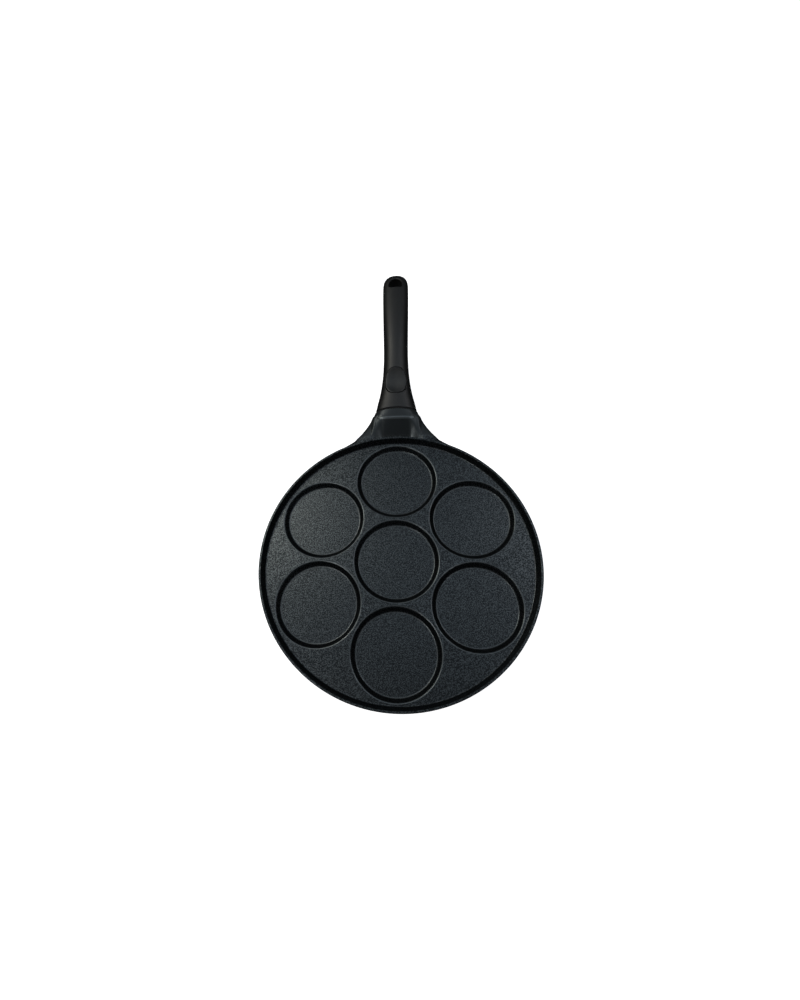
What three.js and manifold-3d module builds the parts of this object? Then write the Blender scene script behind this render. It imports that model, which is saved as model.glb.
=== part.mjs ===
import * as THREE from 'three';
import { mergeVertices } from 'three/addons/utils/BufferGeometryUtils.js';
import Module from 'manifold-3d';

// A seven-cup pancake pan: a cast pan whose neck carries a moulded handle on a tongue.
// Millimetres, +Z up, handle along +Y, origin in the middle of the base.

const degrees = THREE.MathUtils.degToRad;

// Cups
const RING_CUPS = 6;
const CUP_FLOOR_RADIUS = 35.9;
const CUP_DEPTH = 5;
const CUP_DRAFT = degrees(35);
const CUP_FOOT_FILLET = 2.2;
const CUP_EDGE_FILLET = 1.2;
const CUP_WEB = 2.6;

// Plate, rim and base
const FLOOR_THICKNESS = 5;
const RIM_MARGIN = 0.3;
const RIM_HEIGHT = 6.8;
const RIM_DRAFT = degrees(33);
const LIP_WIDTH = 2.2;
const LIP_CORNER = 0.35;
const RIM_FOOT_FILLET = 1.6;
const BASE_FILLET = 6;
const GROOVE_COUNT = 3;
const GROOVE_INSET = 14;
const GROOVE_PITCH = 26;
const GROOVE_WIDTH = 2.4;
const GROOVE_DEPTH = 0.6;

// Neck, cast in one with the pan
const NECK_REACH = 32.9;
const JOINT_CROWN = 9.2;
const COLLAR_LENGTH = 10.7;
const FLANGE_THICKNESS = 12;
const FLANGE_POWER = 4.5;
const FLANGE_SHOULDER = 0.55;
const FLANGE_BLEND = 26;
const FLANGE_BURY = 16;
const LIP_STEP = 1.2;
const BOSS_POWER = 5;
const BOSS_BURY = 9;
const NECK_FLARE = 28.4;
const FLARE_REACH = 108;
const FLARE_POWER = 3;
const SCOOP_ANGLE = degrees(29);
const SCOOP_RIDGE = 41;
const SCOOP_MOUTH = 50;
const SCOOP_SPREAD = 1.12;
const SCOOP_FLAT = 0.6;
const SCOOP_CURVE = 1.5;
const CORE_WALL = 8;
const CORE_ROOF = 4.5;
const TONGUE_END = 14.8;
const TONGUE_WIDTH = 16;
const TONGUE_THICKNESS = 4;
const TONGUE_CORNER = 1.5;

// Handle
const SHANK_ANGLE = degrees(16.5);
const SHANK_LENGTH = 53.7;
const TIP_ANGLE = degrees(5);
const GRIP_LENGTH = 111.4;
const GRIP_WIDTH = 26.6;
const TIP_SWELL = 1.2;
const TIP_THICKNESS = 15.5;
const TIP_ROUND = 20.3;
const TIP_POWER = 2.35;
const TIP_EDGE_POWER = 4;
const SECTION_POWER = 2.6;
const EYE_WIDTH = 15;
const EYE_LENGTH = 12;
const EYE_CORNER = 3.5;
const EYE_INSET = 7.2;

// Thumb rest, let into the handle over the fixing
const PAD_DROP = 1;
const PAD_THICKNESS = 2.6;
const PAD_LENGTH = 29;
const PAD_BORDER = 3.9;
const PAD_TAPER = 0.1;
const PAD_POWER = 2.4;
const PAD_DISH = 1.8;
const PAD_DISH_SPREAD = 1.18;

// Fixing: screw from below, through the tongue, into an insert under the thumb rest
const FIXING_SETBACK = 31.9;
const INSERT_COVER = 1.2;
const INSERT_LENGTH = 4.2;
const INSERT_RADIUS = 3.9;
const INSERT_TEETH = 16;
const INSERT_TOOTH = 0.4;
const SCREW_RADIUS = 2.5;
const SCREW_END = 0.6;
const HEAD_RADIUS = 4.6;
const HEAD_HEIGHT = 2.8;
const HEAD_DOME = 1;
const HEAD_RECESS = 1;
const WASHER_RADIUS = 5;
const PLAIN_WASHER = 1;
const SPRING_WASHER = 1.1;
const SPRING_SPLIT = degrees(12);

// Gasket in the joint
const GASKET_THICKNESS = 0.8;
const GASKET_INSET = 0.7;

// Clearance between pieces that sit on each other, and how far cuts run past a face
const SEAT_GAP = 0.25;
const OVERCUT = 5;

// Facets
const PAN_SIDES = 72;
const CUP_SIDES = 36;
const NECK_SIDES = 40;
const GRIP_SIDES = 28;
const ROUND_SIDES = 20;
const FILLET_STEPS = 2;
const ROOT_STEPS = 15;
const SCOOP_SIDES = 20;
const COLLAR_STEPS = 1;
const SHANK_STEPS = 6;
const GRIP_STEPS = 8;
const TIP_STEPS = 8;
const PAD_SIDES = 36;
const DISH_STEPS = 4;
const SLOPE_STEP = 0.1;

// Pan, worked out
const cupWallRise = CUP_DEPTH - (CUP_FOOT_FILLET + CUP_EDGE_FILLET) * (1 - Math.sin(CUP_DRAFT));
const cupFilletRun = (CUP_FOOT_FILLET + CUP_EDGE_FILLET) * Math.cos(CUP_DRAFT);
const cupMouthRadius = CUP_FLOOR_RADIUS + cupFilletRun + cupWallRise * Math.tan(CUP_DRAFT);
const cupPitch = 2 * cupMouthRadius + CUP_WEB;
const plateTop = FLOOR_THICKNESS + CUP_DEPTH;
const rimTop = plateTop + RIM_HEIGHT;
const rimFootRadius = cupPitch + cupMouthRadius + RIM_MARGIN;
const wallFootRadius = rimFootRadius + RIM_FOOT_FILLET * Math.cos(RIM_DRAFT);
const wallFootHeight = plateTop + RIM_FOOT_FILLET * (1 - Math.sin(RIM_DRAFT));
const lipCornerHeight = rimTop - LIP_CORNER;
const lipCornerRise = LIP_CORNER * Math.sin(RIM_DRAFT);
const lipCornerRun = LIP_CORNER * (1 - Math.cos(RIM_DRAFT));

// Radius of the rim wall's inner face at a height
function innerWall(height) {
  return wallFootRadius + (height - wallFootHeight) * Math.tan(RIM_DRAFT);
}

const lipInnerRadius = innerWall(lipCornerHeight + lipCornerRise) - lipCornerRun;
const rimOuterRadius = lipInnerRadius + LIP_WIDTH;

// Radius of the rim wall's outer face at a height
function outerWall(height) {
  const top = lipCornerHeight - lipCornerRise;
  return rimOuterRadius - lipCornerRun + (height - top) * Math.tan(RIM_DRAFT);
}

function wallMiddle(height) {
  return (innerWall(height) + outerWall(height)) / 2;
}

const baseFilletTop = BASE_FILLET * (1 - Math.sin(RIM_DRAFT));
const baseWallRadius = outerWall(baseFilletTop);
const baseFlatRadius = baseWallRadius - BASE_FILLET * Math.cos(RIM_DRAFT);

// Fixing stack, worked out downwards from the handle's crown; its height is the handle's thickness
const padStack = PAD_DROP + PAD_THICKNESS + SEAT_GAP;
const insertStack = INSERT_COVER + SEAT_GAP + INSERT_LENGTH;
const tongueStack = SEAT_GAP + TONGUE_THICKNESS;
const washerStack = SEAT_GAP + PLAIN_WASHER + SEAT_GAP + SPRING_WASHER;
const headStack = SEAT_GAP + HEAD_HEIGHT + HEAD_RECESS;
const handleThickness = padStack + insertStack + tongueStack + washerStack + headStack;
const crown = handleThickness / 2;
const padTop = crown - PAD_DROP;
const padBottom = padTop - PAD_THICKNESS;
const pocketFloor = padBottom - SEAT_GAP;
const insertTop = pocketFloor - INSERT_COVER - SEAT_GAP;
const insertBottom = insertTop - INSERT_LENGTH;
const tongueTop = insertBottom - SEAT_GAP;
const tongueBottom = tongueTop - TONGUE_THICKNESS;
const plainWasherTop = tongueBottom - SEAT_GAP;
const springWasherTop = plainWasherTop - PLAIN_WASHER - SEAT_GAP;
const headTop = springWasherTop - SPRING_WASHER - SEAT_GAP;
const fixingBoreRadius = SCREW_RADIUS + SEAT_GAP;
const accessRadius = Math.max(WASHER_RADIUS, HEAD_RADIUS) + SEAT_GAP;

// Neck and handle, worked out
const jointY = rimOuterRadius + NECK_REACH;
const jointZ = rimTop + JOINT_CROWN - crown * Math.cos(SHANK_ANGLE);
const handleStart = GASKET_THICKNESS + 2 * SEAT_GAP;
const handleEnd = SHANK_LENGTH + GRIP_LENGTH;
const tongueLength = FIXING_SETBACK + TONGUE_END;

const wasm = await Module();
wasm.setup();

// A closed geometry as a solid that can be joined and cut
function solid(geometry) {
  const bare = geometry.clone();
  bare.deleteAttribute('normal');
  bare.deleteAttribute('uv');
  const merged = mergeVertices(bare);
  const corners = merged.index.array;
  const triangles = [];
  for (let i = 0; i < corners.length; i += 3) {
    const [a, b, c] = corners.slice(i, i + 3);
    if (a !== b && b !== c && c !== a) {
      triangles.push(a, b, c);
    }
  }
  const vertProperties = new Float32Array(merged.getAttribute('position').array);
  const triVerts = new Uint32Array(triangles);
  return new wasm.Manifold(new wasm.Mesh({ numProp: 3, vertProperties, triVerts }));
}

// A solid back as a geometry
function geometryOf(body) {
  const mesh = body.getMesh();
  const geometry = new THREE.BufferGeometry();
  geometry.setAttribute('position', new THREE.BufferAttribute(mesh.vertProperties, 3));
  geometry.setIndex(new THREE.BufferAttribute(mesh.triVerts, 1));
  geometry.computeVertexNormals();
  return geometry;
}

// Points of an arc, both ends included
function arc(x, y, radius, from, to, steps) {
  const points = [];
  for (let i = 0; i <= steps; i += 1) {
    const angle = THREE.MathUtils.lerp(from, to, i / steps);
    points.push(new THREE.Vector2(x + radius * Math.cos(angle), y + radius * Math.sin(angle)));
  }
  return points;
}

function point(x, y) {
  return new THREE.Vector2(x, y);
}

// A profile of radius and height, turned about the Z axis
function turned(profile, sides) {
  return new THREE.LatheGeometry(profile, sides).rotateX(Math.PI / 2);
}

// A shape of X and height, pushed along +Y
function pushedAlong(shape, start, length) {
  const settings = { depth: length, bevelEnabled: false, curveSegments: FILLET_STEPS };
  return new THREE.ExtrudeGeometry(shape, settings).rotateX(Math.PI / 2).translate(0, start + length, 0);
}

// A shape of X and Y, raised along +Z
function raised(shape, bottom, height) {
  const settings = { depth: height, bevelEnabled: false, curveSegments: ROUND_SIDES / 2 };
  return new THREE.ExtrudeGeometry(shape, settings).translate(0, 0, bottom);
}

// A round rod or bore about the Z axis
function rod(radius, bottom, top) {
  return turned([point(0, bottom), point(radius, bottom), point(radius, top), point(0, top)], ROUND_SIDES);
}

// A skin through rings of points, closed by a fan at each end
function loft(rings) {
  const sides = rings[0].length;
  const vertices = rings.flat();
  const triangles = [];
  for (let ring = 0; ring + 1 < rings.length; ring += 1) {
    for (let i = 0; i < sides; i += 1) {
      const here = ring * sides + i;
      const next = ring * sides + (i + 1) % sides;
      triangles.push(here, here + sides, next, next, here + sides, next + sides);
    }
  }
  for (const [ring, flip] of [[0, false], [rings.length - 1, true]]) {
    const middle = new THREE.Vector3();
    rings[ring].forEach((corner) => middle.addScaledVector(corner, 1 / sides));
    const hub = vertices.push(middle) - 1;
    for (let i = 0; i < sides; i += 1) {
      const here = ring * sides + i;
      const next = ring * sides + (i + 1) % sides;
      triangles.push(hub, flip ? next : here, flip ? here : next);
    }
  }
  const geometry = new THREE.BufferGeometry().setFromPoints(vertices);
  geometry.setIndex(triangles);
  return geometry;
}

// A rounded outline between an ellipse and a rectangle, squarer as its power grows
function rounded(halfWidth, halfHeight, power, sides) {
  const points = [];
  for (let i = 0; i < sides; i += 1) {
    const angle = 2 * Math.PI * i / sides;
    const across = Math.abs(Math.cos(angle)) ** (2 / power) * Math.sign(Math.cos(angle));
    const up = Math.abs(Math.sin(angle)) ** (2 / power) * Math.sign(Math.sin(angle));
    points.push(point(halfWidth * across, halfHeight * up));
  }
  return points;
}

// A section set square to the mid-line, in a frame whose Y follows it
function ringIn(frame, points) {
  return points.map(({ x, y }) => new THREE.Vector3(x, 0, y).applyMatrix4(frame));
}

function frameOf(y, z, angle) {
  return new THREE.Matrix4().makeRotationX(angle).setPosition(0, y, z);
}

// Frame on the mid-line of collar and handle: straight from the joint, then bending level
function frameAt(distance) {
  const straight = Math.min(distance, SHANK_LENGTH);
  const bent = Math.max(distance - SHANK_LENGTH, 0);
  const turn = (SHANK_ANGLE - TIP_ANGLE) * bent / GRIP_LENGTH;
  const chord = turn === 0 ? bent : bent * Math.sin(turn / 2) / (turn / 2);
  const chordAngle = SHANK_ANGLE - turn / 2;
  const y = jointY + straight * Math.cos(SHANK_ANGLE) + chord * Math.cos(chordAngle);
  const z = jointZ + straight * Math.sin(SHANK_ANGLE) + chord * Math.sin(chordAngle);
  return frameOf(y, z, SHANK_ANGLE - turn);
}

const jointFrame = frameAt(0);

// Half width of neck and handle at a distance outside the rim
function flaredHalfWidth(reach) {
  const flare = Math.max(1 - reach / FLARE_REACH, 0) ** FLARE_POWER;
  return GRIP_WIDTH / 2 + NECK_FLARE * flare;
}

function reachOf(frame) {
  return new THREE.Vector3().setFromMatrixPosition(frame).y - rimOuterRadius;
}

function tiltOf(frame) {
  return new THREE.Euler().setFromRotationMatrix(frame).x;
}

// The cup, as the space it leaves in the plate; its fillets meet floor and plate smoothly
function cupSpace() {
  const footHeight = CUP_FOOT_FILLET - CUP_DEPTH;
  const profile = [
    point(0, -CUP_DEPTH),
    ...arc(CUP_FLOOR_RADIUS, footHeight, CUP_FOOT_FILLET, -Math.PI / 2, -CUP_DRAFT, FILLET_STEPS),
    ...arc(cupMouthRadius, -CUP_EDGE_FILLET, CUP_EDGE_FILLET, Math.PI - CUP_DRAFT, Math.PI / 2, FILLET_STEPS),
    point(cupMouthRadius, OVERCUT),
    point(0, OVERCUT),
  ];
  return turned(profile, CUP_SIDES);
}

// Plate, rim and base as one turned blank, with shallow turned grooves underneath
function panBlank() {
  const profile = [point(0, 0)];
  for (let i = GROOVE_COUNT - 1; i >= 0; i -= 1) {
    const radius = baseFlatRadius - GROOVE_INSET - i * GROOVE_PITCH;
    profile.push(point(radius - GROOVE_WIDTH / 2, 0));
    profile.push(point(radius, GROOVE_DEPTH));
    profile.push(point(radius + GROOVE_WIDTH / 2, 0));
  }
  profile.push(...arc(baseFlatRadius, BASE_FILLET, BASE_FILLET, -Math.PI / 2, -RIM_DRAFT, FILLET_STEPS));
  const lipCorner = (radius, from, to) => arc(radius, lipCornerHeight, LIP_CORNER, from, to, FILLET_STEPS);
  profile.push(...lipCorner(rimOuterRadius - LIP_CORNER, -RIM_DRAFT, Math.PI / 2));
  profile.push(...lipCorner(lipInnerRadius + LIP_CORNER, Math.PI / 2, Math.PI - RIM_DRAFT));
  const footHeight = plateTop + RIM_FOOT_FILLET;
  profile.push(...arc(rimFootRadius, footHeight, RIM_FOOT_FILLET, -RIM_DRAFT, -Math.PI / 2, FILLET_STEPS));
  profile.push(point(0, plateTop));
  return turned(profile, PAN_SIDES);
}

// What lies inside the middle of the rim wall; the neck stops there
function insideRim() {
  const top = rimTop + OVERCUT;
  const bottom = -OVERCUT;
  return turned(
    [point(0, bottom), point(wallMiddle(bottom), bottom), point(wallMiddle(top), top), point(0, top)],
    PAN_SIDES,
  );
}

// Mid-line of the neck's root: level inside the rim, rising to the collar's slope
const collarPoint = new THREE.Vector3().setFromMatrixPosition(frameAt(-COLLAR_LENGTH));
const flangeTop = rimTop - LIP_STEP;
const flangeHeight = flangeTop - FLANGE_THICKNESS / 2;
const shoulderHeight = flangeHeight + FLANGE_SHOULDER * FLANGE_THICKNESS / 2;
const shoulderRadius = outerWall(shoulderHeight);
const rootBend = (collarPoint.z - flangeHeight) / Math.tan(SHANK_ANGLE);
const rootStart = wallMiddle(0) - FLANGE_BURY;
const rootLine = new THREE.QuadraticBezierCurve(
  point(rootStart, flangeHeight),
  point(collarPoint.y - rootBend, flangeHeight),
  point(collarPoint.y, collarPoint.z),
);
const collarReach = collarPoint.y - rimOuterRadius;

function rootFrame(share) {
  const place = rootLine.getPoint(share);
  return frameOf(place.x, place.y, rootLine.getTangent(share).angle());
}

// How far the root has grown towards the collar at a frame, from 0 at the rim to 1
function growth(frame) {
  return THREE.MathUtils.clamp(reachOf(frame) / collarReach, 0, 1);
}

// Half width of the flange at its shoulder, running smoothly into the rim's outer wall
function flangeHalfWidth(reach) {
  const flare = flaredHalfWidth(reach);
  const chord = Math.sqrt(Math.max(shoulderRadius ** 2 - (rimOuterRadius + reach) ** 2, 0));
  const blend = Math.max(1 - Math.abs(flare - chord) / FLANGE_BLEND, 0);
  const grown = THREE.MathUtils.smoothstep(rimOuterRadius + reach, rootStart, wallMiddle(0));
  return Math.max(flare, chord) + FLANGE_BLEND / 4 * grown * blend ** 2;
}

// Section of the flange that spreads into the rim, drafted square to its outline as the rim is
function flangeSection(frame) {
  const reach = reachOf(frame);
  const halfWidth = flangeHalfWidth(reach);
  const halfHeight = FLANGE_THICKNESS / 2;
  const power = THREE.MathUtils.lerp(FLANGE_POWER, SECTION_POWER, growth(frame));
  const slope = (flangeHalfWidth(reach + SLOPE_STEP) - halfWidth) / SLOPE_STEP;
  const draft = (1 - growth(frame)) ** 2 * Math.tan(RIM_DRAFT) * Math.hypot(1, slope) / halfWidth;
  const points = rounded(halfWidth, halfHeight, power, NECK_SIDES);
  points.forEach((corner) => corner.setX(corner.x * (1 + draft * (corner.y - FLANGE_SHOULDER * halfHeight))));
  return points;
}

// Height of the collar's crown, carried on straight towards the pan
function crownLine(y) {
  return jointZ + (y - jointY) * Math.tan(SHANK_ANGLE) + crown / Math.cos(SHANK_ANGLE);
}

// Height of the boss above the mid-line at a frame
function bossHeight(frame) {
  const place = new THREE.Vector3().setFromMatrixPosition(frame);
  return (crownLine(place.y) - place.z) * Math.cos(tiltOf(frame));
}

function bossHalfWidth(frame) {
  return flaredHalfWidth(Math.max(reachOf(frame), collarReach));
}

function bossPower(frame) {
  return THREE.MathUtils.lerp(BOSS_POWER, SECTION_POWER, growth(frame));
}

// Section of the boss that sinks into the flange at the rim and runs on as the collar
function bossSection(frame) {
  const sunk = 1 - THREE.MathUtils.smoothstep(growth(frame), 0, 1);
  const lower = THREE.MathUtils.lerp(crown, FLANGE_THICKNESS / 2, sunk);
  const points = rounded(bossHalfWidth(frame), 1, bossPower(frame), NECK_SIDES);
  points.forEach((corner) => corner.setY(corner.y * (corner.y > 0 ? bossHeight(frame) : lower)));
  return points;
}

const ridgeY = collarPoint.y - crown * Math.sin(SHANK_ANGLE);
const ridgeHeight = crownLine(ridgeY);

// Height of the scoop's floor, straight down from the ridge towards the rim
function scoopFloor(y) {
  return ridgeHeight - (ridgeY - y) * Math.tan(SCOOP_ANGLE);
}

// Section of the scoop, as the space it leaves: its floor is flat, then curves up to a crest on the boss
function scoopSection(frame) {
  const upper = bossHeight(frame);
  const power = bossPower(frame);
  const y = rimOuterRadius + reachOf(frame) - upper * Math.sin(tiltOf(frame));
  const depth = (crownLine(y) - scoopFloor(y)) * Math.cos(tiltOf(frame));
  const along = (y - rimOuterRadius) / (ridgeY - rimOuterRadius);
  const crest = THREE.MathUtils.lerp(SCOOP_MOUTH, SCOOP_RIDGE, along) / 2;
  const points = [];
  for (let i = 0; i <= SCOOP_SIDES; i += 1) {
    const share = SCOOP_SPREAD * (1 - 2 * i / SCOOP_SIDES);
    const rise = Math.max(Math.abs(share) - SCOOP_FLAT, 0) / (1 - SCOOP_FLAT);
    const sunk = depth * (depth > 0 ? 1 - rise ** SCOOP_CURVE : 1);
    const outward = crest * Math.min(Math.abs(share), 1) / bossHalfWidth(frame);
    points.push(point(crest * share, upper * Math.max(1 - outward ** power, 0) ** (1 / power) - sunk));
  }
  const top = upper + OVERCUT;
  points.push(point(-crest * SCOOP_SPREAD, top), point(crest * SCOOP_SPREAD, top));
  return points.reverse();
}

// Flange, boss and collar up to the joint, scooped on top and cored out from below as a casting is
function neck() {
  const flange = [];
  const boss = [];
  const scoop = [];
  const core = [];
  for (let i = 0; i <= ROOT_STEPS; i += 1) {
    const frame = rootFrame(i / ROOT_STEPS);
    const place = new THREE.Vector3().setFromMatrixPosition(frame);
    flange.push(ringIn(frame, flangeSection(frame)));
    if (i < ROOT_STEPS && reachOf(frame) > -BOSS_BURY) {
      boss.push(ringIn(frame, bossSection(frame)));
      scoop.push(ringIn(frame, scoopSection(frame)));
    }
    if (i < ROOT_STEPS && reachOf(frame) > 0) {
      const outline = rounded(flaredHalfWidth(reachOf(frame)) - CORE_WALL, crown, FLANGE_POWER, NECK_SIDES);
      core.push(ringIn(frameOf(place.y, scoopFloor(place.y) - CORE_ROOF - crown, 0), outline));
    }
  }
  for (let i = 0; i <= COLLAR_STEPS; i += 1) {
    const frame = frameAt(-COLLAR_LENGTH * (1 - i / COLLAR_STEPS));
    boss.push(ringIn(frame, bossSection(frame)));
  }
  const collarMiddle = frameAt(-COLLAR_LENGTH / 2);
  scoop.push(ringIn(collarMiddle, scoopSection(collarMiddle)));
  let body = solid(loft(flange)).add(solid(loft(boss)));
  for (const cut of [loft(scoop), loft(core), insideRim()]) {
    body = body.subtract(solid(cut));
  }
  return body;
}

// A bar with rounded corners, centred on the tongue
function tongueOutline(clearance) {
  const shape = new THREE.Shape();
  const right = TONGUE_WIDTH / 2 + clearance;
  const top = tongueTop + clearance;
  const bottom = tongueBottom - clearance;
  const corner = TONGUE_CORNER;
  shape.absarc(right - corner, bottom + corner, corner, -Math.PI / 2, 0);
  shape.absarc(right - corner, top - corner, corner, 0, Math.PI / 2);
  shape.absarc(corner - right, top - corner, corner, Math.PI / 2, Math.PI);
  shape.absarc(corner - right, bottom + corner, corner, Math.PI, 1.5 * Math.PI);
  shape.closePath();
  return shape;
}

function panBody() {
  const cup = solid(cupSpace());
  let body = solid(panBlank()).subtract(cup.translate(0, 0, plateTop));
  for (let i = 0; i < RING_CUPS; i += 1) {
    const angle = Math.PI / 2 + 2 * Math.PI * i / RING_CUPS;
    body = body.subtract(cup.translate(cupPitch * Math.cos(angle), cupPitch * Math.sin(angle), plateTop));
  }
  const tongue = pushedAlong(tongueOutline(0), -COLLAR_LENGTH / 2, COLLAR_LENGTH / 2 + tongueLength);
  const bore = rod(fixingBoreRadius, tongueBottom - OVERCUT, tongueTop + OVERCUT);
  bore.translate(0, FIXING_SETBACK, 0);
  body = body.add(neck()).add(solid(tongue.applyMatrix4(jointFrame)));
  return geometryOf(body.subtract(solid(bore.applyMatrix4(jointFrame))));
}

// How much of a section is left near the tip, blunter as the power grows
function tipTaper(end, power) {
  return (1 - end ** power) ** (1 / power);
}

// Section of the handle at a distance from the joint
function handleRing(distance) {
  const frame = frameAt(distance);
  const along = THREE.MathUtils.smoothstep(distance, SHANK_LENGTH, handleEnd - TIP_ROUND);
  const end = Math.max(distance - handleEnd + TIP_ROUND, 0) / TIP_ROUND;
  const halfWidth = (flaredHalfWidth(reachOf(frame)) + TIP_SWELL * along) * tipTaper(end, TIP_POWER);
  const halfHeight = THREE.MathUtils.lerp(crown, TIP_THICKNESS / 2, along) * tipTaper(end, TIP_EDGE_POWER);
  return ringIn(frame, rounded(halfWidth, halfHeight, SECTION_POWER, GRIP_SIDES));
}

// The grip as a skin over its sections, closer together round the tip
function grip() {
  const distances = [];
  for (let i = 0; i < SHANK_STEPS; i += 1) {
    distances.push(THREE.MathUtils.lerp(handleStart, SHANK_LENGTH, i / SHANK_STEPS));
  }
  for (let i = 0; i < GRIP_STEPS; i += 1) {
    distances.push(THREE.MathUtils.lerp(SHANK_LENGTH, handleEnd - TIP_ROUND, i / GRIP_STEPS));
  }
  for (let i = 0; i < TIP_STEPS; i += 1) {
    distances.push(handleEnd - TIP_ROUND + TIP_ROUND * Math.sin(Math.PI / 2 * i / TIP_STEPS));
  }
  return loft(distances.map(handleRing));
}

// Egg-shaped outline of the thumb rest, its narrow end towards the tip
function padOutline(clearance) {
  const halfWidth = flaredHalfWidth(reachOf(frameAt(FIXING_SETBACK))) - PAD_BORDER + clearance;
  const halfLength = PAD_LENGTH / 2 + clearance;
  const points = rounded(halfWidth, halfLength, PAD_POWER, PAD_SIDES);
  for (const corner of points) {
    corner.x *= 1 - PAD_TAPER * corner.y / halfLength;
    corner.y += FIXING_SETBACK;
  }
  return new THREE.Shape(points);
}

// Hanging eye: straight towards the pan, round towards the tip
function eyeOutline() {
  const shape = new THREE.Shape();
  const right = EYE_WIDTH / 2 - EYE_CORNER;
  const shoulder = EYE_CORNER - EYE_LENGTH / 2;
  shape.absarc(-right, shoulder, EYE_CORNER, Math.PI, 1.5 * Math.PI);
  shape.absarc(right, shoulder, EYE_CORNER, 1.5 * Math.PI, 2 * Math.PI);
  shape.absellipse(0, shoulder, EYE_WIDTH / 2, EYE_LENGTH / 2 - shoulder, 0, Math.PI);
  return shape;
}

function handle() {
  const through = handleThickness + 2 * OVERCUT;
  const socket = pushedAlong(tongueOutline(SEAT_GAP), -OVERCUT, OVERCUT + tongueLength + SEAT_GAP);
  const pocket = raised(padOutline(SEAT_GAP), pocketFloor, through);
  const insertBore = rod(INSERT_RADIUS + SEAT_GAP, tongueTop, insertTop + SEAT_GAP);
  const access = rod(accessRadius, -through, tongueBottom);
  insertBore.translate(0, FIXING_SETBACK, 0);
  access.translate(0, FIXING_SETBACK, 0);
  let body = solid(grip());
  for (const cut of [socket, pocket, insertBore, access]) {
    body = body.subtract(solid(cut.applyMatrix4(jointFrame)));
  }
  const eye = raised(eyeOutline(), -through / 2, through);
  eye.applyMatrix4(frameAt(handleEnd - EYE_INSET - EYE_LENGTH / 2));
  return geometryOf(body.subtract(solid(eye)));
}

// Soft inlay with a shallow dish for the thumb
function thumbRest() {
  const span = Math.max(PAD_LENGTH, GRIP_WIDTH) / 2;
  const dishRadius = (span ** 2 + PAD_DISH ** 2) / (2 * PAD_DISH);
  const half = Math.asin(span / dishRadius);
  const bowl = arc(0, dishRadius - PAD_DISH, dishRadius, -Math.PI / 2, half - Math.PI / 2, DISH_STEPS);
  const dish = turned([...bowl, point(span, OVERCUT), point(0, OVERCUT)], PAD_SIDES);
  dish.scale(PAD_DISH_SPREAD, 1, 1).translate(0, FIXING_SETBACK, padTop);
  return geometryOf(solid(raised(padOutline(0), padBottom, PAD_THICKNESS)).subtract(solid(dish)));
}

function handleScrew() {
  const headBottom = headTop - HEAD_HEIGHT;
  const tip = insertTop - SCREW_END;
  const profile = [
    point(0, headBottom),
    point(HEAD_RADIUS - HEAD_DOME, headBottom),
    ...arc(HEAD_RADIUS - HEAD_DOME, headBottom + HEAD_DOME, HEAD_DOME, -Math.PI / 2, 0, FILLET_STEPS),
    point(HEAD_RADIUS, headTop),
    point(SCREW_RADIUS, headTop),
    point(SCREW_RADIUS, tip),
    point(0, tip),
  ];
  return geometryOf(solid(turned(profile, ROUND_SIDES)));
}

function plainWasher() {
  const bottom = plainWasherTop - PLAIN_WASHER;
  const profile = [
    point(fixingBoreRadius, bottom),
    point(WASHER_RADIUS, bottom),
    point(WASHER_RADIUS, plainWasherTop),
    point(fixingBoreRadius, plainWasherTop),
    point(fixingBoreRadius, bottom),
  ];
  return geometryOf(solid(turned(profile, ROUND_SIDES)));
}

// Ring with a split towards the tip
function springWasher() {
  const shape = new THREE.Shape();
  const start = Math.PI / 2 + SPRING_SPLIT / 2;
  const end = start + 2 * Math.PI - SPRING_SPLIT;
  shape.absarc(0, 0, HEAD_RADIUS, start, end, false);
  shape.absarc(0, 0, fixingBoreRadius, end, start, true);
  shape.closePath();
  return geometryOf(solid(raised(shape, springWasherTop - SPRING_WASHER, SPRING_WASHER)));
}

// Knurled bush
function threadedInsert() {
  const points = [];
  for (let i = 0; i < 2 * INSERT_TEETH; i += 1) {
    const angle = Math.PI * i / INSERT_TEETH;
    const radius = INSERT_RADIUS - (i % 2) * INSERT_TOOTH;
    points.push(point(radius * Math.cos(angle), radius * Math.sin(angle)));
  }
  const shape = new THREE.Shape(points);
  shape.holes.push(new THREE.Path().absarc(0, 0, fixingBoreRadius, 0, 2 * Math.PI, true));
  return geometryOf(solid(raised(shape, insertBottom, INSERT_LENGTH)));
}

// Seal between collar and handle, with a slot for the tongue
function jointGasket() {
  const halfWidth = flaredHalfWidth(reachOf(jointFrame)) - GASKET_INSET;
  const shape = new THREE.Shape(rounded(halfWidth, crown - GASKET_INSET, SECTION_POWER, GRIP_SIDES));
  shape.holes.push(tongueOutline(SEAT_GAP));
  return geometryOf(solid(pushedAlong(shape, SEAT_GAP, GASKET_THICKNESS)));
}

function finish(color, roughness, metalness) {
  return new THREE.MeshStandardMaterial({ color, roughness, metalness });
}

const coatedCasting = finish(0x2b3033, 0.55, 0.2);
const softTouch = finish(0x2f2f2e, 0.75, 0);
const padRubber = finish(0x2a2b2a, 0.85, 0);
const gasketRubber = finish(0x141516, 0.8, 0);
const zincSteel = finish(0xb6b9bc, 0.35, 1);
const brass = finish(0xb08d4a, 0.4, 1);

function piece(name, geometry, material) {
  const mesh = new THREE.Mesh(geometry, material);
  mesh.name = name;
  return mesh;
}

// Pieces laid out from the joint, whose Y runs along the tongue
const joint = new THREE.Group();
joint.position.set(0, jointY, jointZ);
joint.rotation.x = SHANK_ANGLE;
joint.add(piece('joint_gasket', jointGasket(), gasketRubber));
joint.add(piece('thumb_rest', thumbRest(), padRubber));

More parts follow.
